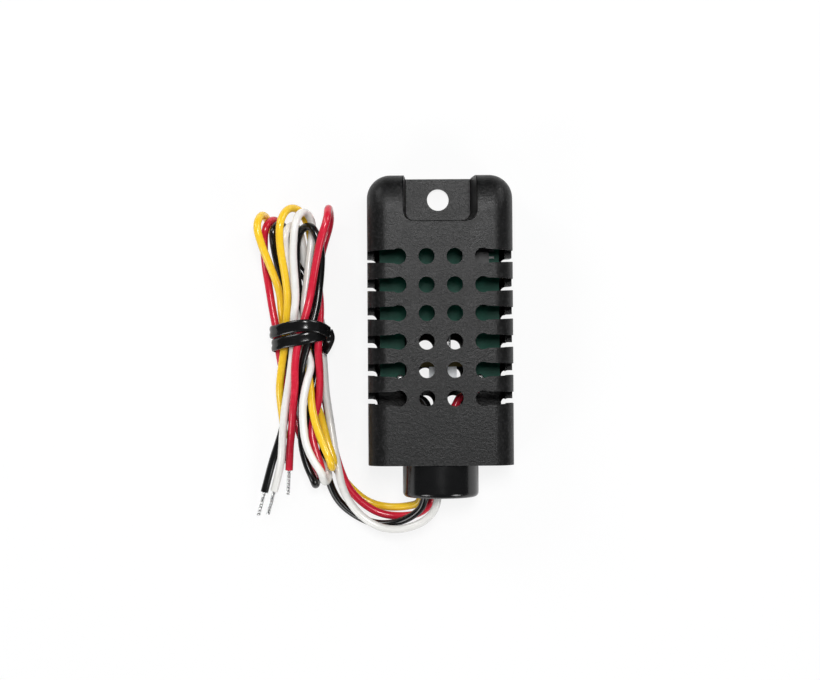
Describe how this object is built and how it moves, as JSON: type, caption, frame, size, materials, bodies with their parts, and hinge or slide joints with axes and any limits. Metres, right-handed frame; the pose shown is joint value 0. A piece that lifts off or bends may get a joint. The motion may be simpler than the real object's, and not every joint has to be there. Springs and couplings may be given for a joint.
{
  "type": "temperature humidity sensor",
  "caption": "Vented grey case with a hanging tab and a round cable collar; sensing element and board inside; coloured leads folded into a tied hank.",
  "frame": {"origin": "middle of the case and collar, on the back that the sensor lies on", "axes": "+Z out of the vented front, +Y from the cable collar to the hanging tab, +X to the right seen from the front"},
  "size_m": [0.0477, 0.0661, 0.014],
  "materials": {
    "case_plastic": "fine matt grain",
    "collar_plastic": "smooth",
    "grommet_rubber": "matt",
    "board_laminate": "green solder mask",
    "chip_resin": "moulded",
    "capacitor_ceramic": "fired",
    "tinned_metal": "tinned",
    "element_white": "smooth",
    "carrier_laminate": "bare laminate",
    "bead_resin": "dipped",
    "lead_yellow": "smooth insulation",
    "lead_black": "smooth insulation",
    "lead_red": "smooth insulation",
    "lead_white": "smooth insulation",
    "tie_plastic": "smooth coating"
  },
  "bodies": {
    "root": {"front_cover": "case_plastic", "back_cover": "case_plastic", "cable_collar": "collar_plastic", "cable_grommet": "grommet_rubber", "circuit_board": "board_laminate", "controller_chip": "chip_resin", "chip_pins": "tinned_metal", "capacitors": "capacitor_ceramic", "resistors": "chip_resin", "solder_joints": "tinned_metal", "humidity_element": "element_white", "element_carrier": "carrier_laminate", "temperature_bead": "bead_resin", "sensor_legs": "tinned_metal", "inner_conductors": "tinned_metal", "lead_yellow_inner": "lead_yellow", "lead_yellow": "lead_yellow", "lead_yellow_hank": "lead_yellow", "lead_yellow_tip": "tinned_metal", "lead_black_inner": "lead_black", "lead_black": "lead_black", "lead_black_hank": "lead_black", "lead_black_tip": "tinned_metal", "lead_red_inner": "lead_red", "lead_red": "lead_red", "lead_red_hank": "lead_red", "lead_red_tip": "tinned_metal", "lead_white_inner": "lead_white", "lead_white": "lead_white", "lead_white_hank": "lead_white", "lead_white_tip": "tinned_metal", "twist_tie": "tie_plastic"}
  },
  "joints": []
}
